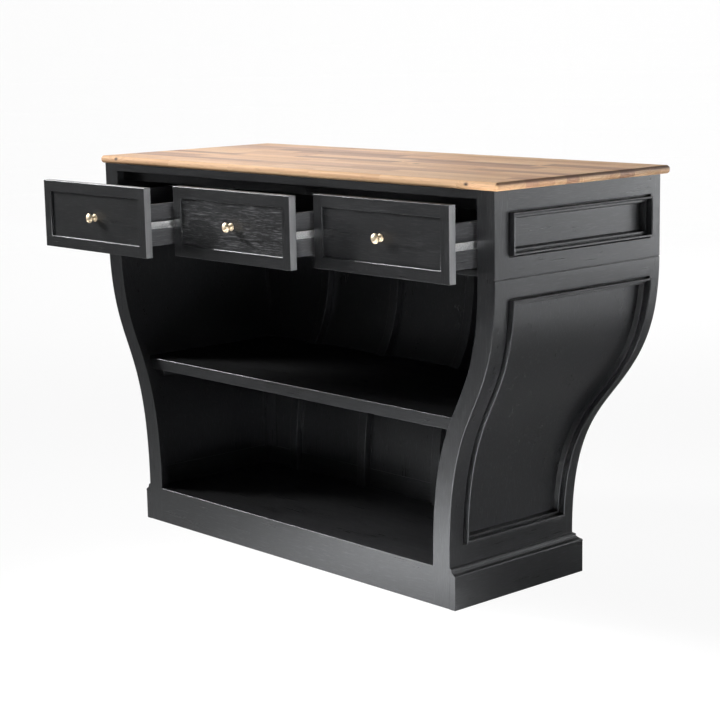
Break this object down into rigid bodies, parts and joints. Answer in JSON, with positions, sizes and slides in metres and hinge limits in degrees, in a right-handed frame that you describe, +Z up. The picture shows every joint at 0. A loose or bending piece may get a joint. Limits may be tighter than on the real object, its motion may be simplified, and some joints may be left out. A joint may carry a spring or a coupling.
{
  "type": "bar counter",
  "caption": "Black panelled bar counter with S-curved ends and back, a wood top, drawers on ball slides, a shelf and an open staff side.",
  "frame": {"origin": "on the floor under the middle of the plinth", "axes": "+X to the right of someone at the open drawer side, +Y away from them towards the guests' side, +Z up"},
  "size_m": [1.5, 0.8509, 1],
  "materials": {
    "black_paint": "satin black paint with open grain",
    "countertop_wood": "oiled edge-glued boards",
    "brass": "polished",
    "slide_steel": "bright zinc"
  },
  "bodies": {
    "cabinet": {"countertop": "countertop_wood", "countertop_screws": "slide_steel", "top_stretchers": "black_paint", "front_top_rail": "black_paint", "upper_stile_left": "black_paint", "upper_stile_right": "black_paint", "lower_stile_left": "black_paint", "lower_stile_right": "black_paint", "front_base_rail": "black_paint", "floor_panel": "black_paint", "floor_bearers": "black_paint", "shelf": "black_paint", "support_cleats": "black_paint", "drawer_deck": "black_paint", "drawer_dividers": "black_paint", "slide_packers": "black_paint", "slide_channels": "slide_steel", "upper_end_frame_left": "black_paint", "upper_end_frame_right": "black_paint", "upper_end_panel_left": "black_paint", "upper_end_panel_right": "black_paint", "upper_end_moulding_left": "black_paint", "upper_end_moulding_right": "black_paint", "lower_end_frame_left": "black_paint", "lower_end_frame_right": "black_paint", "lower_end_panel_left": "black_paint", "lower_end_panel_right": "black_paint", "lower_end_moulding_left": "black_paint", "lower_end_moulding_right": "black_paint", "upper_back_frame": "black_paint", "upper_back_panels": "black_paint", "lower_back_frame": "black_paint", "lower_back_panels": "black_paint", "back_mouldings": "black_paint", "plinth_left": "black_paint", "plinth_right": "black_paint", "plinth_back": "black_paint", "plinth_moulding": "black_paint"},
    "left_drawer": {"drawer_left_front_frame": "black_paint", "drawer_left_front_panel": "black_paint", "drawer_left_box": "black_paint", "drawer_left_bottom": "black_paint", "drawer_left_knob": "brass", "drawer_left_slide_rails": "slide_steel"},
    "left_ball_cages": {"drawer_left_ball_cages": "slide_steel"},
    "middle_drawer": {"drawer_middle_front_frame": "black_paint", "drawer_middle_front_panel": "black_paint", "drawer_middle_box": "black_paint", "drawer_middle_bottom": "black_paint", "drawer_middle_knob": "brass", "drawer_middle_slide_rails": "slide_steel"},
    "middle_ball_cages": {"drawer_middle_ball_cages": "slide_steel"},
    "right_drawer": {"drawer_right_front_frame": "black_paint", "drawer_right_front_panel": "black_paint", "drawer_right_box": "black_paint", "drawer_right_bottom": "black_paint", "drawer_right_knob": "brass", "drawer_right_slide_rails": "slide_steel"},
    "right_ball_cages": {"drawer_right_ball_cages": "slide_steel"}
  },
  "joints": [
    {"name": "left_drawer_slide", "type": "slide", "parent": "cabinet", "child": "left_drawer", "axis": [0, -1, 0], "range_m": [-0.237, 0.103]},
    {"name": "left_cage_slide", "type": "slide", "parent": "cabinet", "child": "left_ball_cages", "axis": [0, -1, 0], "range_m": [-0.1185, 0.0515]},
    {"name": "middle_drawer_slide", "type": "slide", "parent": "cabinet", "child": "middle_drawer", "axis": [0, -1, 0], "range_m": [-0.153, 0.187]},
    {"name": "middle_cage_slide", "type": "slide", "parent": "cabinet", "child": "middle_ball_cages", "axis": [0, -1, 0], "range_m": [-0.0765, 0.0935]},
    {"name": "right_drawer_slide", "type": "slide", "parent": "cabinet", "child": "right_drawer", "axis": [0, -1, 0], "range_m": [-0.084, 0.256]},
    {"name": "right_cage_slide", "type": "slide", "parent": "cabinet", "child": "right_ball_cages", "axis": [0, -1, 0], "range_m": [-0.042, 0.128]}
  ],
  "couplings": [
    {"joint": "left_cage_slide", "follows": "left_drawer_slide", "ratio": 0.5},
    {"joint": "middle_cage_slide", "follows": "middle_drawer_slide", "ratio": 0.5},
    {"joint": "right_cage_slide", "follows": "right_drawer_slide", "ratio": 0.5}
  ]
}
